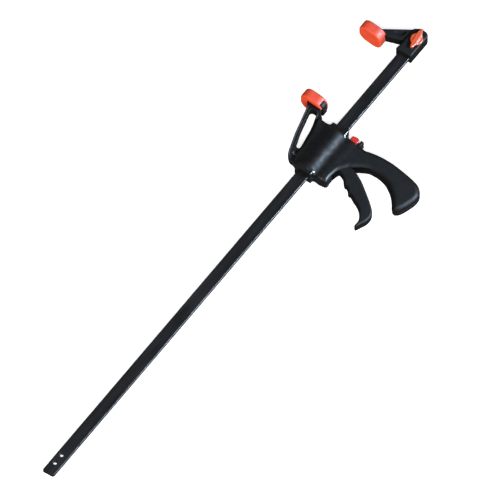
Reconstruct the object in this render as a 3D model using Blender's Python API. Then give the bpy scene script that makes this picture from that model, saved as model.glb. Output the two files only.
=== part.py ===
"""One-handed bar clamp, 600 mm class: a flat steel bar, a pinned fixed jaw and a sliding pistol-grip head.

The clamp lies on its side: +X runs along the bar towards the fixed jaw, +Y from the bar to the pads, +Z up.
The origin is the centre of the fixed pad's clamping face.
Outlines are in millimetres: u along the bar from its free end, v off its centreline towards the pads.
"""

from math import cos, pi, radians, sin, tan

import bmesh
import bpy
from mathutils import Matrix, Vector

MM = 0.001
FACE_U = 753.4  # the fixed pad's clamping face, along the bar
FACE_V = 51.9  # the middle of the pads, off the bar's centreline
HEAD_SHIFT = 0.0  # how far the head has been slid from its place in this outline

BAR_LENGTH = 789.0
BAR_WIDTH = 17.0
BAR_THICK = 6.0
SLOT_GAP = 0.4
HOLE_ACROSS = 5.0
HOLE_AT = (17.0, 31.0)
HOLE_OFF = 1.5

BODY_HALF = 11.5
GRIP_HALF = 11.0
ARM_HALF = 8.0
HUMP_RADIUS = 15.7
COLLAR_HALF = 13.6
CAVITY_HALF = 8.5
CAVITY_RADIUS = 13.0
SPLIT_GAP = 0.15

JAW_HALF = 11.0
JAW_ARM_HALF = 8.5
KEY_AT = (784.5, -2.0)
KEY_TURN = 8.0  # degrees of the wings from the bar at rest
PIN_RADIUS = 3.0

PAD_DEEP = 14.2
PAD_TALL = 35.6
PAD_WIDE = 35.0
PAD_CORNER = 12.5
PAD_WALL = 2.7
PLATE_WIDE = 29.0
MOVING_FACE_U = 642.0

TRIGGER_HALF = 7.8
TRIGGER_PIVOT = (579.0, -27.0)
TRIGGER_PIN_RADIUS = 2.5
DRIVE_U = (575.7, 579.0)
DRIVE_THICK = 3.0
SPRING_SEAT = 551.4
BRAKE_PIVOT = (606.0, 14.0)
BRAKE_TILT = 5.5
SCREWS = ((557.5, 26.0), (607.0, 24.0), (553.0, -27.0), (609.0, -53.0), (601.0, -131.0))
MOVING_PLATE_BELOW = 18.6  # how far each pad's plate reaches below the pad's middle
FIXED_PLATE_BELOW = 14.7

BODY = (
    (547.0, -27, 3), (564, -28, 10), (576, -36, 10), (592, -50, 3), (606, -56, 2), (616.8, -43, 2),
    (616.8, 31.5, 2), (600, 27, 20), (575, 22.5, 20), (556, 23.5, 6), (547.0, 19, 3),
)
SKIRT = (
    (546.2, -36, 8), (557, -33.8, 20), (571.4, -36.8, 12), (588, -48.5, 9), (606, -72, 9), (616, -60, 9),
    (612, -14, 9), (546.6, -14, 9),
)
GRIP = (
    (583, -43), (591, -56), (597.2, -67), (598.8, -80), (597.2, -91.2), (593.5, -100.2), (587.2, -109.6),
    (579.6, -117), (573, -122.2), (569.6, -127.2), (572.8, -132.8), (580.6, -137), (589.6, -139.8),
    (598.4, -142), (607.2, -141.4), (614.2, -136.6), (619.2, -128.6), (621.9, -113.4), (623.2, -98),
    (623.7, -84), (622.7, -70), (620.3, -57.3), (617.2, -47), (612, -38), (598, -34),
)
ARM = (
    (547.0, 6, 1), (547.0, 26, 4), (551.4, 31.8, 4), (557, 34.5, 14), (580, 42.5, 60), (629, 56, 1),
    (632, 56, 1), (632, 37, 1), (626.5, 36, 4), (620.5, 28.5, 5), (615.8, 24.6, 1), (615.8, 6, 1),
)
WINDOW = (
    (565.0, 24.0, 3), (600, 29.9, 60), (622.8, 38.2, 4), (622.8, 48.8, 6), (588, 39.5, 40), (567.8, 31.8, 4),
)
CAVITY = (
    (551, 18, 1), (551, -19, 1), (560, -29, 1), (560, -50, 1), (578, -74, 1), (598.6, -69, 1),
    (598.6, -33, 1), (613.2, -33, 1), (613.2, 18, 1),
)
GRIP_HOLLOW = (
    (603.5, -65), (616.6, -66), (618.8, -84), (617.8, -100), (614.2, -114), (608, -122), (598.5, -120.5),
    (596.5, -115), (600.8, -103), (603.2, -91), (603.2, -78),
)
TRIGGER = (
    (586, -14), (586, -22), (586.9, -30), (586.9, -42), (585.6, -52), (580, -66), (573.2, -77.4),
    (566.5, -87.7), (559.3, -98), (552.2, -106), (544.8, -109.2), (536.4, -108.6), (528.4, -105.4),
    (521.6, -102.3), (522.6, -99.4), (531.6, -99), (539.3, -94.5), (545.6, -88.5), (549.4, -81.8),
    (551.8, -75.4), (554.8, -69.1), (555, -64.5), (558.6, -61.1), (561.1, -57.5), (561.5, -53.2),
    (565.2, -49.2), (569, -45.4), (571.8, -38), (572.2, -28), (574.6, -23.6), (579.4, -20.6), (581.6, -17.2),
    (581.5, -13.4), (583.8, -12),
)
HUB = (
    (759.9, -11, 2), (801.2, -11, 9), (801.2, 3.6, 5), (795.6, 10.9, 1), (766, 11.6, 4), (758.4, 13, 1),
)
JAW_ARM = (
    (764.9, 34, 0.5), (765.4, 32.4, 1), (773.6, 13, 4), (770.5, 6, 1), (776, 0, 1), (797, 0, 1),
    (800.2, 4, 1), (771.2, 43.6, 4), (767, 46.2, 1), (764.9, 46.2, 1),
)
JAW_POCKET = ((774.2, 33, 2), (778.6, 18, 2), (789, 14.6, 2))
COLLAR = ((542.6, -12.2, 1), (624.5, -13.4, 1), (621.9, 11.8, 1), (541.8, 14, 1))
BUTTON = ((612.2, -30.9, 0.5), (623.6, -31, 2.4), (626.6, -26.5, 3), (624.8, -18.8, 2.4), (612.2, -18.4, 0.5))
WING = (
    (-15, -1.4, 1), (-8, -3.6, 6), (8, -3.6, 6), (15, -1.4, 1), (15, 1.4, 1), (8, 3.6, 6), (-8, 3.6, 6),
    (-15, 1.4, 1),
)


def clear_scene():
    for thing in list(bpy.data.objects):
        bpy.data.objects.remove(thing, do_unlink=True)


def rounded(corners, steps=5):
    """An outline from corners (a, b, radius), each corner replaced by an arc touching both of its sides."""
    points = []
    for i, (u, v, radius) in enumerate(corners):
        here = Vector((u, v))
        back = Vector(corners[i - 1][:2]) - here
        ahead = Vector(corners[(i + 1) % len(corners)][:2]) - here
        half = back.angle(ahead) / 2
        reach = min(radius / abs(tan(half)), 0.49 * back.length, 0.49 * ahead.length)
        radius = reach * abs(tan(half))
        start = here + back.normalized() * reach
        end = here + ahead.normalized() * reach
        inward = (back.normalized() + ahead.normalized()).normalized()
        middle = here + inward * (radius / sin(half))
        a = start - middle
        turn = a.angle_signed(end - middle)
        count = max(1, round(steps * abs(turn) / (pi / 2)))
        for k in range(count + 1):
            points.append(middle + Matrix.Rotation(-turn * k / count, 2) @ a)
    return points


def smooth(points, steps=3):
    """A closed curve through the points."""
    knots = [Vector(p) for p in points]
    curve = []
    for i in range(len(knots)):
        a, b, c, d = (knots[(i + k - 1) % len(knots)] for k in range(4))
        for k in range(steps):
            t = k / steps
            bend = 2 * a - 5 * b + 4 * c - d
            curve.append(0.5 * (2 * b + (c - a) * t + bend * t**2 + (3 * b - a - 3 * c + d) * t**3))
    return curve


def place(u, v, z, shift=0.0):
    return Vector(((u - FACE_U) * MM + shift, (v - FACE_V) * MM, z * MM))


def finish(name, mesh, material, helper=False):
    """Puts a bmesh in the scene as an object, facing out, smooth but for its sharp edges."""
    bmesh.ops.remove_doubles(mesh, verts=mesh.verts, dist=1e-7)
    bmesh.ops.recalc_face_normals(mesh, faces=mesh.faces)
    data = bpy.data.meshes.new(name)
    mesh.to_mesh(data)
    mesh.free()
    data.shade_smooth()
    data.set_sharp_from_angle(angle=radians(35))
    thing = bpy.data.objects.new(name, data)
    bpy.context.scene.collection.objects.link(thing)
    if helper:
        thing.hide_render = True
        thing.display_type = "WIRE"
    else:
        data.materials.append(material)
    return thing


def stand(outline, low, high, to_space, edge_low, edge_high, steps):
    """A solid standing on an outline between two heights, with its rims rounded."""
    mesh = bmesh.new()
    rings = [[mesh.verts.new(to_space(p, height)) for p in outline] for height in (low, high)]
    for i in range(len(outline)):
        j = (i + 1) % len(outline)
        mesh.faces.new((rings[0][i], rings[0][j], rings[1][j], rings[1][i]))
    caps = [mesh.faces.new(ring) for ring in rings]
    bmesh.ops.recalc_face_normals(mesh, faces=mesh.faces)
    for cap, edge in zip(caps, (edge_low, edge_high)):
        if edge:
            bmesh.ops.bevel(
                mesh, geom=list(cap.edges), offset=edge * MM, offset_type="OFFSET", segments=steps,
                profile=0.5, affect="EDGES", clamp_overlap=True, loop_slide=False,
            )
    return mesh


def prism_mesh(outline, low, high, shift, edge_low=0.0, edge_high=0.0, steps=2):
    """A flat shape standing on an outline in (u, v)."""

    def to_space(p, z):
        return place(p[0], p[1], z, shift)

    return stand(outline, low, high, to_space, edge_low, edge_high, steps)


def prism(name, outline, low, high, material=None, shift=0.0, **rims):
    return finish(name, prism_mesh(outline, low, high, shift, **rims), material, helper=material is None)


def turned_mesh(profile, sides):
    """A solid of revolution about Z from (radius, z) points, bottom to top, closed at the axis."""
    mesh = bmesh.new()
    rings = []
    for radius, z in profile:
        turns = [2 * pi * k / sides for k in range(sides)]
        rings.append([mesh.verts.new(Vector((radius * cos(a), radius * sin(a), z)) * MM) for a in turns])
    for lower, upper in zip(rings, rings[1:]):
        for k in range(sides):
            j = (k + 1) % sides
            mesh.faces.new((lower[k], lower[j], upper[j], upper[k]))
    mesh.faces.new(rings[0])
    mesh.faces.new(rings[-1])
    return mesh


def turned(name, profile, centre, material=None, sides=20, turn=None):
    mesh = turned_mesh(profile, sides)
    if turn:
        bmesh.ops.transform(mesh, matrix=turn, verts=mesh.verts)
    thing = finish(name, mesh, material, helper=material is None)
    thing.location = centre
    return thing


def block(name, low, high, material=None, shift=0.0, edge=0.0):
    """A box between two corners (u, v, z)."""
    outline = ((low[0], low[1]), (high[0], low[1]), (high[0], high[1]), (low[0], high[1]))
    return prism(name, outline, low[2], high[2], material, shift, edge_low=edge, edge_high=edge)


def combine(target, tool, operation):
    step = target.modifiers.new(operation.lower() + "_" + tool.name, "BOOLEAN")
    step.operation = operation
    step.solver = "EXACT"
    step.object = tool


def cut(target, *tools):
    for tool in tools:
        combine(target, tool, "DIFFERENCE")


def join(target, *tools):
    for tool in tools:
        combine(target, tool, "UNION")


def rod(name, radius, start, end, shift=0.0, sides=32):
    """A helper cylinder round the bar's centreline, from u start to u end."""
    turn = Matrix.Rotation(pi / 2, 4, "Y")
    return turned(name, ((radius, start), (radius, end)), place(0, 0, 0, shift), None, sides, turn)


def material(name, colour, roughness, metallic=0.0):
    made = bpy.data.materials.new(name)
    made.use_nodes = True
    shader = made.node_tree.nodes["Principled BSDF"]
    shader.inputs["Base Color"].default_value = (*colour, 1)
    shader.inputs["Roughness"].default_value = roughness
    shader.inputs["Metallic"].default_value = metallic
    return made


def drill(target, name, radius, low, high, centre, sides=20):
    """Cuts a round hole along Z."""
    cut(target, turned(name, ((radius, low), (radius, high)), centre, sides=sides))


def make_bar(steel):
    half = BAR_WIDTH / 2
    outline = rounded(((0.8, -half, 3.5), (BAR_LENGTH, -half, 1), (BAR_LENGTH, half, 1), (-1.2, half, 2)))
    bar = prism("bar", outline, -BAR_THICK / 2, BAR_THICK / 2, steel, edge_low=0.4, edge_high=0.4, steps=1)
    for i, u in enumerate(HOLE_AT):
        drill(bar, f"bar_hole_{i}", HOLE_ACROSS / 2, -5, 5, place(u, HOLE_OFF, 0))
    drill(bar, "bar_pin_hole", PIN_RADIUS + 0.3, -5, 5, place(*KEY_AT, 0))


def across(low, high, side, corner, steps=4):
    """A rounded rectangle across the bar, as (v, z) from the pads' middle."""
    corners = ((low, -side, corner), (high, -side, corner), (high, side, corner), (low, side, corner))
    return rounded(corners, steps)


def slab(name, outline, start, end, material=None, shift=0.0, edge_start=0.0, edge_end=0.0, steps=3):
    """A flat piece across the bar: an outline in (v, z) between two stations along the bar."""

    def to_space(p, u):
        return place(u, FACE_V + p[0], p[1], shift)

    mesh = stand(outline, start, end, to_space, edge_start, edge_end, steps)
    return finish(name, mesh, material, helper=material is None)


def make_pad(name, rubber, face, side, low_wall, shift=0.0):
    """A rubber cap slid over the jaw's plate; side is the direction its clamping face looks, along X."""
    tall, half = PAD_TALL, PAD_WIDE / 2
    back = face - side * PAD_DEEP
    edges = {"edge_start": 1.2, "edge_end": 3.0}
    cap = slab(name, across(-tall / 2, tall / 2, half, PAD_CORNER), back, face, rubber, shift, **edges)
    bottom = PAD_WALL - tall / 2 if low_wall else -tall
    room = across(bottom, tall / 2 - PAD_WALL, half - PAD_WALL, 7)
    pocket = slab(name + "_pocket", room, back + side * 2, face - side * 3, None, shift)
    gate = across(-tall, 7, 9, 1, 2)
    opening = slab(name + "_opening", gate, back - side * 2, back + side * 3, None, shift)
    cut(cap, pocket, opening)


def pad_plate(name, face, side, below, shift=0.0):
    """The plate of a jaw that a pad slides over; side is the way the pad looks."""
    outline = across(-below, 13.7, PLATE_WIDE / 2, 6.5)
    start, end = sorted((face - side * 11.9, face - side * 3.3))
    return slab(name, outline, start, end, None, shift)


def make_fixed_jaw(plastic):
    jaw = prism("fixed_jaw", rounded(HUB), -JAW_HALF, JAW_HALF, plastic, edge_low=2, edge_high=2, steps=2)
    arm_rims = {"edge_low": 1.2, "edge_high": 1.2, "steps": 1}
    arm = prism("jaw_arm", rounded(JAW_ARM), -JAW_ARM_HALF, JAW_ARM_HALF, **arm_rims)
    join(jaw, arm, pad_plate("jaw_plate", FACE_U, -1, FIXED_PLATE_BELOW))
    half, thick = BAR_WIDTH / 2 + SLOT_GAP, BAR_THICK / 2 + SLOT_GAP
    socket = block("jaw_socket", (750, -half, -thick), (BAR_LENGTH + 0.4, half, thick))
    cut(jaw, socket)
    drill(jaw, "jaw_bore", PIN_RADIUS + 0.3, -20, 20, place(*KEY_AT, 0))
    drill(jaw, "nut_recess", 6.3, -12, -6, place(*KEY_AT, 0), sides=6)
    for i, side in enumerate((-1, 1)):
        ends = sorted((side * (JAW_ARM_HALF - 3.5), side * (JAW_ARM_HALF + 2)))
        cut(jaw, prism(f"jaw_pocket_{i}", rounded(JAW_POCKET, 3), *ends))


def make_jaw_lock(orange, steel):
    """The wing key and its threaded pin turn together in a nut let into the far side of the jaw."""
    spin = Matrix.Rotation(radians(KEY_TURN), 4, "Z")
    centre = place(*KEY_AT, 0)
    profile = ((8.4, 11.4), (8.4, 13.0), (7.4, 14.0))
    key = turned("jaw_lock_key", profile, centre, orange, 28, spin)
    wing = [p + Vector((FACE_U, FACE_V)) for p in rounded(WING, 3)]
    mesh = prism_mesh(wing, 11.9, 16.4, 0.0, edge_high=1.1)
    bmesh.ops.transform(mesh, matrix=spin, verts=mesh.verts)
    rib = finish("key_rib", mesh, None, helper=True)
    rib.location = centre
    join(key, rib)
    drill(key, "key_bore", PIN_RADIUS + 0.3, 8, 13.2, centre)
    turned("jaw_lock_pin", ((2.4, -10.7), (PIN_RADIUS, -10.1), (PIN_RADIUS, 12.8)), centre, steel, 20)
    nut = turned("jaw_lock_nut", ((5.2, -10.3), (5.8, -9.9), (5.8, -6.4)), centre, steel, 6)
    drill(nut, "nut_hole", PIN_RADIUS + 0.3, -14, -4, centre)


def span(side, near, far):
    """Two heights from the split plane, in order, on the chosen side."""
    return sorted((side * near, side * far))


def rims(side, edge):
    return {"edge_high": edge} if side > 0 else {"edge_low": edge}


def make_housing(name, side, plastic):
    """Half of the head's shell: side +1 is the upper half, -1 the lower one that takes the screws."""
    shift = HEAD_SHIFT
    tag = "front" if side > 0 else "back"

    def stood(what, outline, half, edge=0.0, steps=1, near=SPLIT_GAP, material=None):
        """A prism on this side of the split plane, its outer rim rounded."""
        low, high = span(side, near, half)
        return prism(what, outline, low, high, material, shift, steps=steps, **rims(side, edge))

    def boxed(what, low, high, half, near=SPLIT_GAP):
        """A block between two corners (u, v) on this side of the split plane."""
        bottom, top = span(side, near, half)
        return block(f"{what}_{tag}", (*low, bottom), (*high, top), None, shift)

    shell = stood(name, rounded(BODY, 4), BODY_HALF, 2.0, 2, material=plastic)
    join(
        shell,
        stood(f"skirt_{tag}", rounded(SKIRT, 4), BODY_HALF - 0.1, 7.5, 3),
        stood(f"grip_{tag}", smooth(GRIP, 2), GRIP_HALF, 4.5, 3),
        stood(f"arm_{tag}", rounded(ARM, 4), ARM_HALF, 1.3),
        pad_plate(f"plate_{tag}", MOVING_FACE_U, 1, MOVING_PLATE_BELOW, shift),
        rod(f"hump_{tag}", HUMP_RADIUS, 547.8, 616.3, shift=shift, sides=40),
        stood(f"collar_{tag}", rounded(COLLAR, 2), COLLAR_HALF, 1.5),
        boxed("ledge", (610, -37.2), (624.8, -32.6), 8.4),
    )
    half, thick = BAR_WIDTH / 2 + SLOT_GAP, BAR_THICK / 2 + SLOT_GAP
    cut(
        shell,
        boxed("split", (500, -200), (700, 100), -40),
        stood(f"room_{tag}", rounded(CAVITY, 1), CAVITY_HALF, near=-5),
        rod(f"tunnel_{tag}", CAVITY_RADIUS, 551, 604, shift=shift, sides=32),
        stood(f"hollow_{tag}", smooth(GRIP_HOLLOW, 1), 7.6, near=-5),
        stood(f"window_{tag}", rounded(WINDOW, 4), 20, near=-5),
        block(f"channel_{tag}", (530, -half, -thick), (640, half, thick), None, shift),
        block(f"gate_{tag}", (612, -32.6, -7), (618.5, -17.4, 7), None, shift),
    )
    join(shell, boxed("stop", (596.6, -30), (598.9, -14.5), CAVITY_HALF + 1))
    low, high = span(side, -5, 10.3)
    drill(shell, f"pin_bore_{tag}", TRIGGER_PIN_RADIUS + 0.3, low, high, place(*TRIGGER_PIVOT, 0, shift), 16)
    for i, (u, v) in enumerate(SCREWS):
        if side > 0:
            profile = ((1.8, -5), (1.8, 7.4))
        else:
            profile = ((3.6, -20), (3.6, -6.6), (1.8, -6.6), (1.8, 5))
        cut(shell, turned(f"screw_bore_{tag}_{i}", profile, place(u, v, 0, shift), sides=14))


def make_screws(steel):
    profile = ((2.4, -9.0), (3.2, -8.2), (3.2, -6.9), (1.5, -6.9), (1.5, 6.4), (0.9, 7.0))
    for i, (u, v) in enumerate(SCREWS, 1):
        turned(f"housing_screw_{i}", profile, place(u, v, 0, HEAD_SHIFT), steel, 14)


def make_trigger(plastic, steel):
    centre = place(*TRIGGER_PIVOT, 0, HEAD_SHIFT)
    mesh = prism_mesh(smooth(TRIGGER, 2), -TRIGGER_HALF, TRIGGER_HALF, HEAD_SHIFT, 3.0, 3.0, 3)
    bmesh.ops.translate(mesh, vec=-centre, verts=mesh.verts)
    trigger = finish("trigger", mesh, plastic)
    trigger.location = centre
    drill(trigger, "trigger_bore", TRIGGER_PIN_RADIUS + 0.3, -12, 12, centre, 16)
    profile = ((2.1, -9.9), (TRIGGER_PIN_RADIUS, -9.5), (TRIGGER_PIN_RADIUS, 9.5), (2.1, 9.9))
    turned("trigger_pin", profile, centre, steel, 16)


def make_drive(steel, spring_steel):
    half, thick = BAR_WIDTH / 2 + 0.6, BAR_THICK / 2 + 0.5
    for i, u in enumerate(DRIVE_U, 1):
        outline = across(-17.5 - FACE_V, 14 - FACE_V, 7.8, 2, 2)
        start, end = u - DRIVE_THICK / 2, u + DRIVE_THICK / 2
        plate = slab(f"drive_plate_{i}", outline, start, end, steel, HEAD_SHIFT)
        slot = block(f"drive_slot_{i}", (start - 2, -half, -thick), (end + 2, half, thick), None, HEAD_SHIFT)
        cut(plate, slot)
    length = DRIVE_U[0] - DRIVE_THICK / 2 - 0.3 - SPRING_SEAT
    coil("drive_spring", spring_steel, place(SPRING_SEAT, 0, 0, HEAD_SHIFT), length, 10.9, 0.9, 5.5)


def coil(name, steel, start, length, radius, wire, turns, around=6, per_turn=16):
    """An open coil spring along +X from start."""
    mesh = bmesh.new()
    steps = round(turns * per_turn)
    rings = []
    pitch = (length - 2 * wire) / turns
    lean = Vector((pitch, 2 * pi * radius, 0)).normalized()
    for k in range(steps + 1):
        angle = 2 * pi * k / per_turn
        out = Vector((0, cos(angle), sin(angle)))
        along = Vector((0, -sin(angle), cos(angle)))
        centre = out * radius + Vector((wire + pitch * k / per_turn, 0, 0))
        side = (Vector((1, 0, 0)) * lean.y - along * lean.x).normalized()
        ring = []
        for j in range(around):
            turn = 2 * pi * j / around
            ring.append(mesh.verts.new((centre + (out * cos(turn) + side * sin(turn)) * wire) * MM))
        rings.append(ring)
    for a, b in zip(rings, rings[1:]):
        for j in range(around):
            i = (j + 1) % around
            mesh.faces.new((a[j], a[i], b[i], b[j]))
    mesh.faces.new(rings[0])
    mesh.faces.new(rings[-1])
    thing = finish(name, mesh, steel)
    thing.location = start


def leaning_box(name, size, drop, pivot, material=None):
    """A box hung below the brake's pivot, leaning by BRAKE_TILT."""
    mesh = bmesh.new()
    bmesh.ops.create_cube(mesh, size=1)
    bmesh.ops.scale(mesh, vec=Vector(size) * MM, verts=mesh.verts)
    bmesh.ops.translate(mesh, vec=Vector((0, -drop, 0)) * MM, verts=mesh.verts)
    bmesh.ops.transform(mesh, matrix=Matrix.Rotation(radians(BRAKE_TILT), 4, "Z"), verts=mesh.verts)
    thing = finish(name, mesh, material, helper=material is None)
    thing.location = pivot
    return thing


def make_brake(steel, red, spring_steel):
    """The brake plate hangs from its top in the housing; the release button caps its foot."""
    pivot = place(*BRAKE_PIVOT, 0, HEAD_SHIFT)
    plate = leaning_box("brake_plate", (3.0, 47.0, 13.0), 21.3, pivot, steel)
    slot = (9, BAR_WIDTH + 1.4, BAR_THICK + 1.0)
    cut(plate, leaning_box("brake_slot", slot, BRAKE_PIVOT[1], pivot))
    mesh = prism_mesh(rounded(BUTTON, 3), -6, 6, HEAD_SHIFT, 1.5, 1.5, 2)
    bmesh.ops.translate(mesh, vec=-pivot, verts=mesh.verts)
    button = finish("release_button", mesh, red)
    button.location = pivot
    coil("brake_spring", spring_steel, place(599.2, -22.5, 0, HEAD_SHIFT), 8.0, 3.6, 0.5, 5, 5, 12)


def main():
    clear_scene()
    plastic = material("black_plastic", (0.012, 0.012, 0.014), 0.45)
    bar_steel = material("bar_steel", (0.009, 0.009, 0.010), 0.4, 0.7)
    rubber = material("orange_rubber", (0.9, 0.13, 0.045), 0.55)
    orange = material("orange_plastic", (0.92, 0.14, 0.035), 0.4)
    red = material("red_plastic", (0.8, 0.04, 0.03), 0.35)
    zinc = material("zinc_steel", (0.6, 0.6, 0.58), 0.35, 1.0)
    spring_steel = material("spring_steel", (0.35, 0.35, 0.36), 0.3, 1.0)
    make_bar(bar_steel)
    make_fixed_jaw(plastic)
    make_pad("fixed_pad", rubber, FACE_U, -1, low_wall=True)
    make_jaw_lock(orange, zinc)
    make_housing("housing_front", 1, plastic)
    make_housing("housing_back", -1, plastic)
    make_screws(zinc)
    make_pad("moving_pad", rubber, MOVING_FACE_U, 1, low_wall=False, shift=HEAD_SHIFT)
    make_trigger(plastic, zinc)
    make_drive(zinc, spring_steel)
    make_brake(zinc, red, spring_steel)


main()
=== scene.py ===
"""Looks of the one-handed bar clamp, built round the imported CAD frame.

The moulded pieces are sampled distance fields, meshed as surface nets, so that their shapes run into each other with
the fillets that a mould leaves. The steel pieces are the CAD's own. Outlines are in millimetres: u along the bar from
its free end, v off the bar's centreline towards the pads, z up out of the side with the key.
"""

from math import cos, pi, radians, sin, tan

import bpy
import numpy as np
from mathutils import Matrix, Vector


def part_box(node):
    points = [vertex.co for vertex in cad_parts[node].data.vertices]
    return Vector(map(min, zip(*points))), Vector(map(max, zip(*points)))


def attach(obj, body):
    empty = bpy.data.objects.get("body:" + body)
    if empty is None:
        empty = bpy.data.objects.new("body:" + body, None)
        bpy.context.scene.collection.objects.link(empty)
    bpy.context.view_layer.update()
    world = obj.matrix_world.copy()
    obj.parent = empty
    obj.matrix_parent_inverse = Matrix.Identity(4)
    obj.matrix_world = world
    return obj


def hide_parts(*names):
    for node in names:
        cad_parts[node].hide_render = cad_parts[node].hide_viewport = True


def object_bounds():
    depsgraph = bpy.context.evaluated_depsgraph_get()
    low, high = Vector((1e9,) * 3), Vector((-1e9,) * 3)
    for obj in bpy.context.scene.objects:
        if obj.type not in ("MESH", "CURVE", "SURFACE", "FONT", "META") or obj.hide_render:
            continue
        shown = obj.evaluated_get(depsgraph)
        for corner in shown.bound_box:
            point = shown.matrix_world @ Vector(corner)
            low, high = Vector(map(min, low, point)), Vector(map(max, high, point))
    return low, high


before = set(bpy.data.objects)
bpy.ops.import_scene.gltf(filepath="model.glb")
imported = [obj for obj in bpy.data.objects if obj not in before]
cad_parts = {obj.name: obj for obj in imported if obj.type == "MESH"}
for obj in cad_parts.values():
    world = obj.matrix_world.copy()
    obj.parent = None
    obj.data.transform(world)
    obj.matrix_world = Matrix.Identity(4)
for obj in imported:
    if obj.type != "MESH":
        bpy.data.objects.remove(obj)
cad_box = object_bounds()

MM = 0.001
BAR_START = -1.2  # u of the bar's free end, at its furthest corner
bar_low, bar_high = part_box("bar")
FACE_U = BAR_START - bar_low.x / MM
FACE_V = -(bar_low.y + bar_high.y) / 2 / MM
BAR_HALF = (bar_high.y - bar_low.y) / 2 / MM
BAR_THICK_HALF = (bar_high.z - bar_low.z) / 2 / MM
BAR_END = bar_high.x / MM + FACE_U
SLOT_GAP = 0.4  # between the bar and the slot that it runs through, on each side
SPLIT_GAP = 0.15  # from the plane between the head's halves to each of them

# Half thicknesses, from the clamp's middle plane to a moulding's side.
BODY_HALF = 11.4
ARM_HALF = 8.0
COLLAR_HALF = 13.6
LEDGE_HALF = 8.4
TRIGGER_HALF = 7.8
HUB_HALF = 11.0
JAW_ARM_HALF = 8.5
HUMP_RADIUS = 15.4

PAD_TALL, PAD_WIDE, PAD_DEEP = 35.6, 35.0, 14.2
PAD_CORNER = 12.5
PAD_WALL = 2.7
MOVING_PLATE_BELOW = 18.6  # how far each jaw's plate reaches below the pad's middle
FIXED_PLATE_BELOW = 14.7
BUTTON_BOTTOM = -32.6  # v of the ledge's top and of the gate that the button slides in

PIN_HOLE_RADIUS = 2.8
LOCK_HOLE_RADIUS = 3.3
SCREW_HOLE_RADIUS, SCREW_HEAD_RADIUS = 1.8, 3.6
NUT_RADIUS = 6.3

KEY_AT = (784.5, -2.0)
KEY_TURN = radians(8.0)
TRIGGER_PIVOT = (579.0, -27.0)
MOVING_FACE_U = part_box("moving_pad")[1].x / MM + FACE_U
FIXED_FACE_U = FACE_U
SCREWS = ((557.5, 26.0), (607.0, 24.0), (553.0, -27.0), (609.0, -53.0), (601.0, -131.0))

# Corners are (u, v, radius); points without a radius lie on a smooth closed curve.
BODY = (
    (547.0, -27, 3), (564, -28, 10), (576, -36, 10), (592, -50, 3), (606, -56, 2), (616.8, -43, 2),
    (616.8, 31.5, 2), (600, 27, 20), (575, 22.5, 20), (556, 23.5, 6), (547.0, 19, 3),
)
SKIRT = (
    (546.2, -36, 8), (557, -33.8, 20), (571.4, -36.8, 12), (588, -48.5, 9), (606, -72, 9), (616, -60, 9),
    (612, -14, 9), (546.6, -14, 9),
)
GRIP = (
    (583, -43), (591, -56), (597.2, -67), (598.8, -80), (597.2, -91.2), (593.5, -100.2), (587.2, -109.6),
    (579.6, -117), (573, -122.2), (569.6, -127.2), (572.8, -132.8), (580.6, -137), (589.6, -139.8),
    (598.4, -142), (607.2, -141.4), (614.2, -136.6), (619.2, -128.6), (621.9, -113.4), (623.2, -98),
    (623.7, -84), (622.7, -70), (620.3, -57.3), (617.2, -47), (612, -38), (598, -34),
)
ARM = (
    (547.0, 6, 1), (547.0, 26, 4), (551.4, 31.8, 4), (557, 34.5, 14), (580, 42.5, 60), (629, 56, 1),
    (632, 56, 1), (632, 37, 1), (626.5, 36, 4), (620.5, 28.5, 5), (615.8, 24.6, 1), (615.8, 6, 1),
)
WINDOW = (
    (565.0, 24.0, 3), (600, 29.9, 60), (622.8, 38.2, 4), (622.8, 48.8, 6), (588, 39.5, 40), (567.8, 31.8, 4),
)
CAVITY = (
    (551, 18, 1), (551, -19, 1), (560, -29, 1), (560, -50, 1), (578, -74, 1), (598.6, -69, 1), (598.6, -33, 1),
    (613.2, -33, 1), (613.2, 18, 1),
)
GRIP_HOLLOW = (
    (603.5, -65), (616.6, -66), (618.8, -84), (617.8, -100), (614.2, -114), (608, -122), (598.5, -120.5),
    (596.5, -115), (600.8, -103), (603.2, -91), (603.2, -78),
)
TRIGGER = (
    (586, -14), (586, -22), (586.9, -30), (586.9, -42), (585.6, -52), (580, -66), (573.2, -77.4),
    (566.5, -87.7), (559.3, -98), (552.2, -106), (544.8, -109.2), (536.4, -108.6), (528.4, -105.4),
    (521.6, -102.3), (522.6, -99.4), (531.6, -99), (539.3, -94.5), (545.6, -88.5), (549.4, -81.8),
    (551.8, -75.4), (554.8, -69.1), (555, -64.5), (558.6, -61.1), (561.1, -57.5), (561.5, -53.2),
    (565.2, -49.2), (569, -45.4), (571.8, -38), (572.2, -28), (574.6, -23.6), (579.4, -20.6), (581.6, -17.2),
    (581.5, -13.4), (583.8, -12),
)
HUB = (
    (759.9, -11, 2), (801.2, -11, 9), (801.2, 3.6, 5), (795.6, 10.9, 1), (766, 11.6, 4), (758.4, 13, 1),
)
JAW_ARM = (
    (764.9, 34, 0.5), (765.4, 32.4, 1), (773.6, 13, 4), (770.5, 6, 1), (776, 0, 1), (797, 0, 1),
    (800.2, 4, 1), (771.2, 43.6, 4), (767, 46.2, 1), (764.9, 46.2, 1),
)
JAW_POCKET = ((774.2, 33, 2), (778.6, 18, 2), (789, 14.6, 2))
COLLAR = ((542.6, -12.2, 1), (624.5, -13.4, 1), (621.9, 11.8, 1), (541.8, 14, 1))
BUTTON = ((612.2, -30.9, 0.5), (623.6, -31, 2.4), (626.6, -26.5, 3), (624.8, -18.8, 2.4), (612.2, -18.4, 0.5))
WING = (
    (-15, -1.4, 1), (-8, -3.6, 6), (8, -3.6, 6), (15, -1.4, 1), (15, 1.4, 1), (8, 3.6, 6), (-8, 3.6, 6), (-15, 1.4, 1),
)


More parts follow.
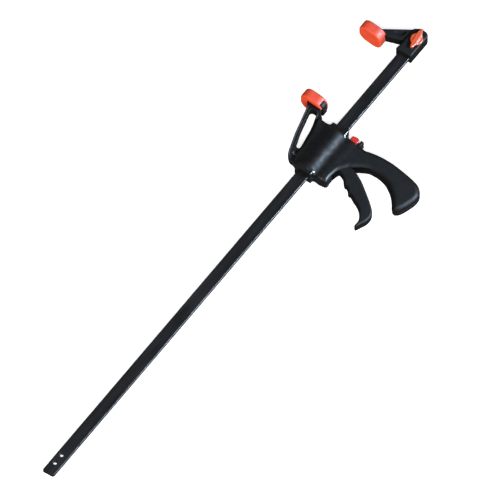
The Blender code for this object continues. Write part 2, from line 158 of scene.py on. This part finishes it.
def rounded(corners, steps=8):
    """An outline from corners (a, b, radius), each corner replaced by an arc that touches both of its sides."""
    points = []
    for i, (a, b, radius) in enumerate(corners):
        here = Vector((a, b))
        back = Vector(corners[i - 1][:2]) - here
        ahead = Vector(corners[(i + 1) % len(corners)][:2]) - here
        half = back.angle(ahead) / 2
        reach = min(radius / abs(tan(half)), 0.49 * back.length, 0.49 * ahead.length)
        radius = reach * abs(tan(half))
        start = here + back.normalized() * reach
        end = here + ahead.normalized() * reach
        middle = here + (back.normalized() + ahead.normalized()).normalized() * (radius / sin(half))
        arm = start - middle
        turn = arm.angle_signed(end - middle)
        count = max(1, round(steps * abs(turn) / (pi / 2)))
        points += [tuple(middle + Matrix.Rotation(-turn * k / count, 2) @ arm) for k in range(count + 1)]
    return points


def smooth(points, steps=5):
    """A closed Catmull-Rom curve through the points."""
    knots = np.array(points, float)
    curve = []
    for i in range(len(knots)):
        a, b, c, d = (knots[(i + k - 1) % len(knots)] for k in range(4))
        for t in np.arange(steps) / steps:
            bend = 2 * a - 5 * b + 4 * c - d
            curve.append(tuple(0.5 * (2 * b + (c - a) * t + bend * t**2 + (3 * b - a - 3 * c + d) * t**3)))
    return curve


class Grid:
    """Sample points over a box in millimetres. Every shape is its signed distance there, negative inside."""

    def __init__(self, low, high, step, u_stations=None):
        self.axes = [np.arange(a, b + step, step, dtype=np.float32) for a, b in zip(low, high)]
        if u_stations is not None:
            self.axes[0] = u_stations.astype(np.float32)
        self.u, self.v, self.z = np.meshgrid(*self.axes, indexing="ij", sparse=True)

    def polygon(self, points, plane="uv"):
        """Distance to a closed outline, in the plane of two of the axes."""
        first, second = ("uvz".index(letter) for letter in plane)
        a, b = np.meshgrid(self.axes[first], self.axes[second], indexing="ij")
        best = np.full(a.shape, 1e9, np.float32)
        inside = np.zeros(a.shape, bool)
        for (pa, pb), (qa, qb) in zip(points, points[1:] + points[:1]):
            ea, eb = qa - pa, qb - pb
            t = np.clip(((a - pa) * ea + (b - pb) * eb) / max(ea * ea + eb * eb, 1e-9), 0, 1)
            best = np.minimum(best, (a - pa - t * ea) ** 2 + (b - pb - t * eb) ** 2)
            if pb != qb:
                inside ^= ((pb > b) != (qb > b)) & (a < ea * (b - pb) / eb + pa)
        distance = np.where(inside, -1, 1) * np.sqrt(best)
        return np.expand_dims(distance, 3 - first - second).astype(np.float32)


def along(flat, depth, radius=0.0):
    """A flat shape and a depth across it, both distances, made solid with its rims rounded."""
    a, b = flat + radius, depth + radius
    return np.minimum(np.maximum(a, b), 0) + np.hypot(np.maximum(a, 0), np.maximum(b, 0)) - radius


def between(axis, low, high):
    return np.abs(axis - (low + high) / 2) - (high - low) / 2


def merge(a, b, fillet=0.0):
    """The union, with a fillet of about this size where the two meet."""
    if not fillet:
        return np.minimum(a, b)
    share = np.clip(0.5 + 0.5 * (b - a) / fillet, 0, 1)
    return b + (a - b) * share - fillet * share * (1 - share)


def carve(a, b, rim=0.0):
    """a with b taken away, with the rim of the cut rounded."""
    return -merge(-a, b, rim)


def surface(field, grid):
    """The field's zero level as quads: one vertex in each cell that it crosses."""
    inside = field < 0
    size = np.array(field.shape) - 1
    corners = [(i, j, k) for i in (0, 1) for j in (0, 1) for k in (0, 1)]
    count = sum(
        inside[i : i + size[0], j : j + size[1], k : k + size[2]].astype(np.int8) for i, j, k in corners
    )
    active = (count > 0) & (count < 8)
    cells = np.argwhere(active)
    index = np.full(active.shape, -1, np.int64)
    index[active] = np.arange(len(cells))
    total, number = np.zeros((len(cells), 3)), np.zeros(len(cells))
    for a in corners:
        for axis in range(3):
            if a[axis]:
                continue
            b = tuple(c + (n == axis) for n, c in enumerate(a))
            near = field[tuple((cells + a).T)].astype(float)
            far = field[tuple((cells + b).T)].astype(float)
            cross = (near < 0) != (far < 0)
            spot = np.repeat(np.array(a, float)[None], len(cells), 0)
            spot[:, axis] += near / np.where(cross, near - far, 1)
            total[cross] += spot[cross]
            number += cross
    place = cells + total / number[:, None]
    points = np.stack([np.interp(place[:, n], np.arange(len(grid.axes[n])), grid.axes[n]) for n in range(3)], 1)
    faces = []
    for axis in range(3):
        b, c = (axis + 1) % 3, (axis + 2) % 3
        lower = [slice(None)] * 3
        upper = [slice(None)] * 3
        lower[axis], upper[axis] = slice(0, -1), slice(1, None)
        edges = np.argwhere(inside[tuple(lower)] != inside[tuple(upper)])
        keep = (edges[:, b] > 0) & (edges[:, c] > 0) & (edges[:, b] < size[b]) & (edges[:, c] < size[c])
        edges = edges[keep]
        ring = []
        for back_b, back_c in ((1, 1), (0, 1), (0, 0), (1, 0)):
            cell = edges.copy()
            cell[:, b] -= back_b
            cell[:, c] -= back_c
            ring.append(index[tuple(cell.T)])
        quads = np.stack(ring, 1)
        outward = inside[tuple(edges.T)]
        quads[~outward] = quads[~outward][:, ::-1]
        faces.append(quads)
    return points, np.concatenate(faces)


def to_frame(points):
    return (points - (FACE_U, FACE_V, 0)) * MM


def piece(name, field, grid, body, node, finish, keep=1.0):
    """Meshes a field as one visible piece that rides on a body in place of a CAD node."""
    points, faces = surface(field, grid)
    mesh = bpy.data.meshes.new(name)
    mesh.from_pydata(to_frame(points).tolist(), [], faces.tolist())
    mesh.validate()
    thing = bpy.data.objects.new(name, mesh)
    bpy.context.scene.collection.objects.link(thing)
    if keep < 1:
        thin = thing.modifiers.new("thin", "DECIMATE")
        thin.ratio = keep
        graph = bpy.context.evaluated_depsgraph_get()
        thinned = bpy.data.meshes.new_from_object(thing.evaluated_get(graph), depsgraph=graph)
        thing.modifiers.clear()
        thing.data = thinned
    thing.data.shade_smooth()
    thing.data.materials.clear()
    thing.data.materials.append(finish)
    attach(thing, body)
    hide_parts(node)
    return thing


def disc(grid, centre, radius):
    return np.hypot(grid.u - centre[0], grid.v - centre[1]) - radius


def jaw_plate(grid, start, end, below, fillet=1.2):
    """The flat plate that a pad slides over, across the bar, ending this far below the pad's middle."""
    low, high = FACE_V - below, FACE_V + 13.7
    across = rounded(((low, -14.5, 6.5), (high, -14.5, 6.5), (high, 14.5, 6.5), (low, 14.5, 6.5)))
    return along(grid.polygon(across, "vz"), between(grid.u, start, end), fillet)


def bar_slot(grid, start, end):
    half, thick = BAR_HALF + SLOT_GAP, BAR_THICK_HALF + SLOT_GAP
    return np.maximum(
        np.maximum(between(grid.v, -half, half), between(grid.z, -thick, thick)), between(grid.u, start, end)
    )


def head_field(grid):
    """The whole head, as if it were one moulding: grip, skirt, hump over the bar and the pad's arm."""
    u, v, z = grid.u, grid.v, grid.z
    body, arm, window = (grid.polygon(rounded(points)) for points in (BODY, ARM, WINDOW))
    grip = merge(grid.polygon(rounded(SKIRT)), grid.polygon(smooth(GRIP)), 2.5)
    tall = np.abs(z)
    # The rims are fuller where the hand holds.
    rim = np.interp(v, (-34, -20), (7.2, 2.6)).astype(np.float32)
    shape = along(merge(body, grip, 3.0), tall - BODY_HALF, rim)
    # A shallow web runs down the arm between its rims.
    web = np.clip((np.minimum(-arm, window) - 0.9) / 1.3, 0, 1) * np.clip(body / 2, 0, 1)
    web_depth = 0.9 * web * web * (3 - 2 * web)
    shape = merge(shape, along(arm, tall - ARM_HALF + web_depth, 1.3), 2.5)
    shape = merge(shape, jaw_plate(grid, MOVING_FACE_U - 11.9, MOVING_FACE_U - 3.3, MOVING_PLATE_BELOW), 2.0)
    hump = along(np.hypot(v, z) - HUMP_RADIUS, between(u, 547.8, 616.3), 1.4)
    shape = merge(shape, hump, 7.0)
    # The collar stands out only at the head's two ends, so that the hump between them stays round.
    collar = along(grid.polygon(rounded(COLLAR)), tall - COLLAR_HALF, 1.6)
    shape = merge(shape, np.maximum(collar, -between(u, 549.5, 614.5)), 2.0)
    ledge = np.maximum(between(u, 610, 624.8), between(v, -37.2, BUTTON_BOTTOM))
    shape = merge(shape, along(ledge, tall - LEDGE_HALF, 1.0), 1.6)
    shape = carve(shape, along(window, tall - 20, 0.0), 1.4)
    room = np.maximum(grid.polygon(rounded(CAVITY, 3)), tall - 8.5)
    tunnel = np.maximum(np.hypot(v, z) - 13.0, between(u, 551, 604))
    hollow = np.maximum(grid.polygon(smooth(GRIP_HOLLOW, 3)), tall - 7.6)
    stop = np.maximum(between(u, 596.6, 598.9), between(v, -30, -14.5))
    inner = carve(np.minimum(np.minimum(room, tunnel), hollow), stop)
    shape = carve(shape, inner)
    gate = np.maximum(np.maximum(between(u, 612, 630), between(v, BUTTON_BOTTOM, -17.4)), tall - 7.0)
    shape = carve(shape, gate, 0.6)
    shape = carve(shape, bar_slot(grid, 530, 640), 0.5)
    shape = carve(shape, np.maximum(disc(grid, TRIGGER_PIVOT, PIN_HOLE_RADIUS), tall - 10.3))
    return shape


def build_head(finish):
    grid = Grid((541, -145, -18.3), (645, 72, 18.3), 0.6)
    shape = head_field(grid)
    for centre in SCREWS:
        shape = carve(shape, np.maximum(disc(grid, centre, SCREW_HOLE_RADIUS), np.abs(grid.z) - 7.4))
        shape = carve(shape, np.maximum(disc(grid, centre, SCREW_HEAD_RADIUS), grid.z + 6.6), 0.5)
    # The halves meet in a fine groove.
    shape = shape + np.maximum(0, 0.55 - np.abs(grid.z)) * 0.8
    front = np.maximum(shape, SPLIT_GAP - grid.z)
    back = np.maximum(shape, grid.z + SPLIT_GAP)
    piece("head_shell_front", front, grid, "head", "housing_front", finish, 0.4)
    piece("head_shell_back", back, grid, "head", "housing_back", finish, 0.4)


def build_trigger(finish):
    grid = Grid((519, -112, -9), (590, -9, 9), 0.5)
    tall = np.abs(grid.z)
    shape = along(grid.polygon(smooth(TRIGGER)), tall - TRIGGER_HALF, 3.2)
    shape = carve(shape, np.maximum(disc(grid, TRIGGER_PIVOT, PIN_HOLE_RADIUS), tall - 12), 0.5)
    piece("trigger_lever_shell", shape, grid, "trigger_lever", "trigger", finish, 0.5)


def build_fixed_jaw(finish):
    grid = Grid((755, -13, -16), (803, 68, 16), 0.5)
    tall = np.abs(grid.z)
    shape = along(grid.polygon(rounded(HUB)), tall - HUB_HALF, 2.4)
    shape = merge(shape, along(grid.polygon(rounded(JAW_ARM)), tall - JAW_ARM_HALF, 1.3), 2.0)
    shape = merge(shape, jaw_plate(grid, FIXED_FACE_U + 3.3, FIXED_FACE_U + 11.9, FIXED_PLATE_BELOW), 1.5)
    pocket = np.maximum(grid.polygon(rounded(JAW_POCKET, 4)), 5.0 - tall)
    shape = carve(shape, pocket, 0.8)
    shape = carve(shape, bar_slot(grid, 740, BAR_END + SLOT_GAP), 0.5)
    shape = carve(shape, disc(grid, KEY_AT, LOCK_HOLE_RADIUS) + 0 * grid.z, 0.4)
    nut_pocket = [
        (KEY_AT[0] + NUT_RADIUS * cos(k * pi / 3), KEY_AT[1] + NUT_RADIUS * sin(k * pi / 3)) for k in range(6)
    ]
    shape = carve(shape, np.maximum(grid.polygon(nut_pocket), grid.z + 6), 0.5)
    piece("fixed_jaw_shell", shape, grid, "bar_assembly", "fixed_jaw", finish, 0.6)


def build_pad(name, face, side, body, node, finish, low_wall):
    """A rubber cap over a jaw's plate, its clamping face towards this side along X. low_wall closes its low end."""
    low, high = sorted((face, face - side * PAD_DEEP))
    grid = Grid((low - 2, FACE_V - 20, -19.5), (high + 2, FACE_V + 20, 19.5), 0.5)
    middle = FACE_V
    tall, wide = PAD_TALL / 2, PAD_WIDE / 2
    corners = ((-tall, -wide), (tall, -wide), (tall, wide), (-tall, wide))
    flat = grid.polygon(rounded([(middle + v, z, PAD_CORNER) for v, z in corners]), "vz")
    depth = side * (grid.u - face)
    shape = along(flat, np.maximum(depth, -depth - 30), 2.2)
    shape = carve(shape, depth + PAD_DEEP, 2.0)
    # The room for the jaw's plate, and the gate in the cap's back that the jaw's arm comes through.
    inner = wide - PAD_WALL
    top = middle + tall - PAD_WALL
    bottom = middle - tall + PAD_WALL if low_wall else 0
    room = ((bottom, -inner, 7), (top, -inner, 7), (top, inner, 7), (bottom, inner, 7))
    room = np.maximum(grid.polygon(rounded(room), "vz"), between(depth, -12.2, -3.0))
    gate = ((0, -9, 0.5), (middle + 7, -9, 1), (middle + 7, 9, 1), (0, 9, 0.5))
    gate = np.maximum(grid.polygon(rounded(gate), "vz"), between(depth, -20, -11))
    shape = carve(shape, np.minimum(room, gate), 0.7)
    piece(name, shape, grid, body, node, finish, 0.6)


def build_key(finish):
    grid = Grid((767, -19, 10.6), (802, 15, 17.2), 0.28)
    u, v = grid.u - KEY_AT[0], grid.v - KEY_AT[1]
    turned = [
        (KEY_AT[0] + a * cos(KEY_TURN) - b * sin(KEY_TURN), KEY_AT[1] + a * sin(KEY_TURN) + b * cos(KEY_TURN))
        for a, b in rounded(WING)
    ]
    shape = along(np.hypot(u, v) - 8.4, between(grid.z, 11.4, 14.0), 0.8)
    shape = merge(shape, along(grid.polygon(turned), between(grid.z, 11.9, 16.4), 1.0), 1.2)
    shape = carve(shape, np.maximum(np.hypot(u, v) - LOCK_HOLE_RADIUS, grid.z - 13.2))
    piece("lock_key_wing", shape, grid, "lock_key", "jaw_lock_key", finish, 0.6)


def build_button(finish):
    grid = Grid((610.5, -33, -7.5), (628, -16, 7.5), 0.3)
    shape = along(grid.polygon(rounded(BUTTON)), np.abs(grid.z) - 6, 1.6)
    for k in range(3):
        rib = np.hypot(grid.u - 626.6, grid.v + 28 - 3.2 * k) - 1.1
        shape = carve(shape, np.maximum(rib, np.abs(grid.z) - 5), 0.4)
    piece("release_button_cap", shape, grid, "brake", "release_button", finish, 0.6)


def build_bar(finish):
    fine = 0.4
    stations = np.concatenate([
        np.arange(BAR_START - 2, 38, fine), np.arange(38, 770, 4.0), np.arange(770, BAR_END + 2, fine),
    ])
    grid = Grid((0, -10, -4.2), (1, 10, 4.2), fine, stations)
    edge = ((0.8, -BAR_HALF, 3.5), (BAR_END, -BAR_HALF, 1), (BAR_END, BAR_HALF, 1), (BAR_START, BAR_HALF, 2))
    shape = along(grid.polygon(rounded(edge)), np.abs(grid.z) - BAR_THICK_HALF, 0.7)
    for centre, radius in (((17.0, 1.5), 2.5), ((31.0, 1.5), 2.5), (KEY_AT, LOCK_HOLE_RADIUS)):
        shape = carve(shape, disc(grid, centre, radius) + 0 * grid.z, 0.6)
    piece("flat_bar", shape, grid, "bar_assembly", "bar", finish)


class Nodes:
    """Builds one material's node tree, node by node, round its Principled BSDF."""

    def __init__(self, name):
        self.material = bpy.data.materials.new(name)
        self.material.use_nodes = True
        self.tree = self.material.node_tree
        self.shader = self.tree.nodes["Principled BSDF"]
        self.coords = self.add("ShaderNodeTexCoord").outputs["Object"]

    def add(self, kind, **values):
        node = self.tree.nodes.new(kind)
        for name, value in values.items():
            if hasattr(node, name):
                setattr(node, name, value)
            else:
                node.inputs[name.replace("_", " ")].default_value = value
        return node

    def link(self, source, target):
        self.tree.links.new(source, target)

    def noise(self, scale, detail=3.0, stretch=(1, 1, 1), rough=0.55):
        mapping = self.add("ShaderNodeMapping")
        mapping.inputs["Scale"].default_value = stretch
        self.link(self.coords, mapping.inputs["Vector"])
        noise = self.add("ShaderNodeTexNoise", Scale=scale, Detail=detail, Roughness=rough)
        self.link(mapping.outputs["Vector"], noise.inputs["Vector"])
        return noise.outputs["Fac"]

    def ramp(self, source, low, high, from_min=0.3, from_max=0.7):
        """source's range, remapped to low and high."""
        node = self.add("ShaderNodeMapRange")
        for name, value in (("From Min", from_min), ("From Max", from_max), ("To Min", low), ("To Max", high)):
            node.inputs[name].default_value = value
        self.link(source, node.inputs["Value"])
        return node.outputs["Result"]

    def math(self, operation, first, second=0.0):
        node = self.add("ShaderNodeMath", operation=operation)
        for socket, value in zip(node.inputs, (first, second)):
            if isinstance(value, float):
                socket.default_value = value
            else:
                self.link(value, socket)
        return node.outputs[0]

    def mix(self, amount, first, second):
        node = self.add("ShaderNodeMix", data_type="RGBA")
        self.link(amount, node.inputs[0])
        for socket, value in ((node.inputs[6], first), (node.inputs[7], second)):
            if isinstance(value, tuple):
                socket.default_value = (*value, 1)
            else:
                self.link(value, socket)
        return node.outputs[2]

    def edges(self, low=0.53, high=0.62):
        """How far the surface is a convex edge, from 0 to 1."""
        return self.ramp(self.add("ShaderNodeNewGeometry").outputs["Pointiness"], 0, 1, low, high)

    def bump(self, heights, strength):
        """Bump from (height, distance in metres) pairs, one over the other."""
        normal = None
        for height, distance in heights:
            node = self.add("ShaderNodeBump", Strength=strength, Distance=distance)
            self.link(height, node.inputs["Height"])
            if normal:
                self.link(normal, node.inputs["Normal"])
            normal = node.outputs["Normal"]
        self.link(normal, self.shader.inputs["Normal"])

    def finish(self, colour, roughness, **values):
        self.link(colour, self.shader.inputs["Base Color"])
        self.link(roughness, self.shader.inputs["Roughness"])
        for name, value in values.items():
            self.shader.inputs[name.replace("_", " ")].default_value = value
        return self.material


def black_plastic(name, gloss_reach):
    """Satin within this distance of the bar's centreline, in millimetres, and a dull texture further out."""
    made = Nodes(name)
    grain = made.noise(1900, 2)
    clouds = made.noise(38, 4)
    colour = made.mix(made.ramp(clouds, 0, 1), (0.0046, 0.0049, 0.0055), (0.0080, 0.0081, 0.0086))
    colour = made.mix(made.ramp(made.edges(), 0, 0.5, 0, 1), colour, (0.024, 0.025, 0.028))
    made.bump([(grain, 0.000025), (clouds, 0.0001)], 0.5)
    place = made.add("ShaderNodeSeparateXYZ")
    made.link(made.coords, place.inputs[0])
    off_bar = made.math("ABSOLUTE", made.math("ADD", place.outputs["Y"], FACE_V * MM))
    edge = gloss_reach * MM
    dull = made.ramp(off_bar, 0, 1, edge, edge + 0.012)
    made.link(made.ramp(dull, 0.30, 0.08, 0, 1), made.shader.inputs["Specular IOR Level"])
    rough = made.math("ADD", made.ramp(made.noise(160, 5), 0.26, 0.35), made.ramp(dull, 0, 0.26, 0, 1))
    return made.finish(colour, rough)


def black_steel():
    made = Nodes("black_lacquered_steel")
    streaks = made.noise(420, 4, (0.04, 1, 1))
    specks = made.noise(900, 2)
    colour = made.mix(made.ramp(streaks, 0, 1), (0.0045, 0.0045, 0.0050), (0.0105, 0.0100, 0.0098))
    # Painted highlight: the bar's convex edges are lightened towards pale grey, standing in for the lit strip along
    # its edge.
    colour = made.mix(made.ramp(made.edges(0.52, 0.60), 0, 0.35, 0, 1), colour, (0.09, 0.09, 0.10))
    made.bump([(streaks, 0.00004), (specks, 0.00004)], 0.5)
    return made.finish(colour, made.ramp(made.noise(130, 4, (0.15, 1, 1)), 0.32, 0.46), Specular_IOR_Level=0.2)


def rubber():
    made = Nodes("orange_pad_rubber")
    grain = made.noise(1500, 3)
    patches = made.noise(95, 3)
    colour = made.mix(made.ramp(patches, 0, 1), (0.93, 0.080, 0.030), (1.0, 0.115, 0.040))
    colour = made.mix(made.ramp(made.edges(), 0, 0.35, 0, 1), colour, (1.0, 0.25, 0.14))
    made.bump([(grain, 0.00008), (patches, 0.00015)], 0.5)
    return made.finish(colour, made.ramp(made.noise(300, 3), 0.50, 0.66), Specular_IOR_Level=0.2)


def coloured_plastic(name, dark, light, rough):
    made = Nodes(name)
    grain = made.noise(1200, 2)
    clouds = made.noise(120, 3)
    colour = made.mix(made.ramp(clouds, 0, 1), dark, light)
    paler = tuple(min(1.0, c * 1.15 + 0.06) for c in light)
    colour = made.mix(made.ramp(made.edges(), 0, 0.4, 0, 1), colour, paler)
    made.bump([(grain, 0.00004)], 0.4)
    return made.finish(colour, made.ramp(made.noise(260, 3), *rough))


def bright_steel(name, colour, stretch=(1, 1, 1)):
    made = Nodes(name)
    streaks = made.noise(700, 4, stretch)
    stain = made.noise(90, 4)
    darker = tuple(0.72 * c for c in colour)
    tone = made.mix(made.ramp(stain, 0, 1), colour, darker)
    tone = made.mix(made.ramp(made.edges(0.52, 0.60), 0, 0.5, 0, 1), tone, tuple(min(1, c * 1.3) for c in colour))
    made.bump([(streaks, 0.00003)], 0.5)
    return made.finish(tone, made.ramp(streaks, 0.22, 0.40), Metallic=1.0)


def dress(nodes, finish):
    """Gives CAD nodes that stay in view their finish."""
    for name in nodes:
        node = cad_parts[name]
        if not node.material_slots:
            node.data.materials.append(finish)
        for slot in node.material_slots:
            slot.material = finish


def build_camera():
    """Looks down on the clamp from the side with the key, far enough off for an almost parallel view."""
    right = Vector((0.6093, -0.7929, 0.0)).normalized()
    back = Vector((-0.3429, -0.2635, 0.9017)).normalized()
    up = back.cross(right)
    target = Vector((-0.3404, -0.0645, 0.0029))
    distance, width_in_view = 25.0, 0.6505
    data = bpy.data.cameras.new("camera")
    data.sensor_width = 36
    data.lens = data.sensor_width * distance / width_in_view
    data.clip_end = 100
    camera = bpy.data.objects.new("camera", data)
    turn = Matrix((right, up, back)).transposed().to_4x4()
    camera.matrix_world = Matrix.Translation(target + back * distance) @ turn
    bpy.context.scene.collection.objects.link(camera)
    bpy.context.scene.camera = camera


def area_light(name, direction, distance, size, power, colour, gloss_only=False, aim=(-0.2, -0.07, 0)):
    """A soft light in this direction from the point that it shines at. gloss_only leaves it just its reflections."""
    data = bpy.data.lights.new(name, "AREA")
    data.shape = "RECTANGLE"
    data.size, data.size_y = size
    data.energy = power
    data.color = colour
    light = bpy.data.objects.new(name, data)
    direction = Vector(direction).normalized()
    light.location = Vector(aim) + direction * distance
    light.rotation_euler = direction.to_track_quat("Z", "Y").to_euler()
    light.visible_diffuse = not gloss_only
    bpy.context.scene.collection.objects.link(light)


def build_stage():
    mesh = bpy.data.meshes.new("floor")
    reach, height = 30.0, cad_box[0][2] - 0.0005
    corners = [(-reach, -reach, height), (reach, -reach, height), (reach, reach, height), (-reach, reach, height)]
    mesh.from_pydata(corners, [], [(0, 1, 2, 3)])
    floor = bpy.data.objects.new("floor", mesh)
    bpy.context.scene.collection.objects.link(floor)
    made = Nodes("pale_floor")
    tone = made.mix(made.ramp(made.noise(3, 2), 0, 1), (0.90, 0.90, 0.90), (0.93, 0.93, 0.93))
    rough = made.ramp(made.noise(5, 2), 0.85, 0.95)
    glow = {"Emission_Color": (1, 1, 1, 1), "Emission_Strength": 0.75}
    mesh.materials.append(made.finish(tone, rough, Specular_IOR_Level=0.1, **glow))
    # The floor is for looking at: the clamp neither mirrors it nor takes light from it.
    floor.visible_glossy = floor.visible_diffuse = floor.visible_shadow = False
    world = bpy.data.worlds.new("studio")
    bpy.context.scene.world = world
    world.use_nodes = True
    background = world.node_tree.nodes["Background"]
    background.inputs["Color"].default_value = (0.93, 0.96, 1.0, 1)
    background.inputs["Strength"].default_value = 0.10
    area_light("key_light", (0.35, -0.71, 0.61), 2.2, (0.9, 0.16), 620, (0.64, 0.80, 1.0), gloss_only=True)
    area_light("top_light", (-0.60, -0.45, 0.66), 3.0, (3.0, 3.0), 150, (1.0, 0.99, 0.97))
    area_light("under_light", (0.348, -0.267, -0.899), 0.9, (0.45, 0.3), 0.1, (0.9, 0.95, 1.0), aim=(-0.3, -0.07, 0))
    area_light("fill_light", (-0.2, 0.9, 0.6), 3.0, (2.0, 2.0), 6, (1.0, 1.0, 1.0))
    bpy.context.scene.view_settings.view_transform = "Standard"


build_camera()
build_stage()
plastic = black_plastic("black_moulded_plastic", gloss_reach=22)
textured = black_plastic("black_textured_plastic", gloss_reach=-20)
orange_rubber = rubber()
build_head(plastic)
build_trigger(textured)
build_fixed_jaw(textured)
build_pad("fixed_pad_cap", FIXED_FACE_U, -1, "bar_assembly", "fixed_pad", orange_rubber, low_wall=True)
build_pad("moving_pad_cap", MOVING_FACE_U, 1, "head", "moving_pad", orange_rubber, low_wall=False)
build_key(coloured_plastic("orange_key_plastic", (0.86, 0.10, 0.022), (0.95, 0.17, 0.045), (0.30, 0.44)))
build_button(coloured_plastic("red_button_plastic", (0.80, 0.030, 0.026), (0.95, 0.060, 0.042), (0.24, 0.36)))
build_bar(black_steel())
dress(
    ["jaw_lock_pin", "jaw_lock_nut", "trigger_pin", "drive_plate_1", "drive_plate_2", "brake_plate"],
    bright_steel("zinc_plated_steel", (0.60, 0.60, 0.58)),
)
dress([f"housing_screw_{i}" for i in range(1, 6)], bright_steel("screw_steel", (0.55, 0.55, 0.53)))
dress(["drive_spring", "brake_spring"], bright_steel("spring_wire", (0.33, 0.33, 0.34)))
bpy.context.view_layer.update()
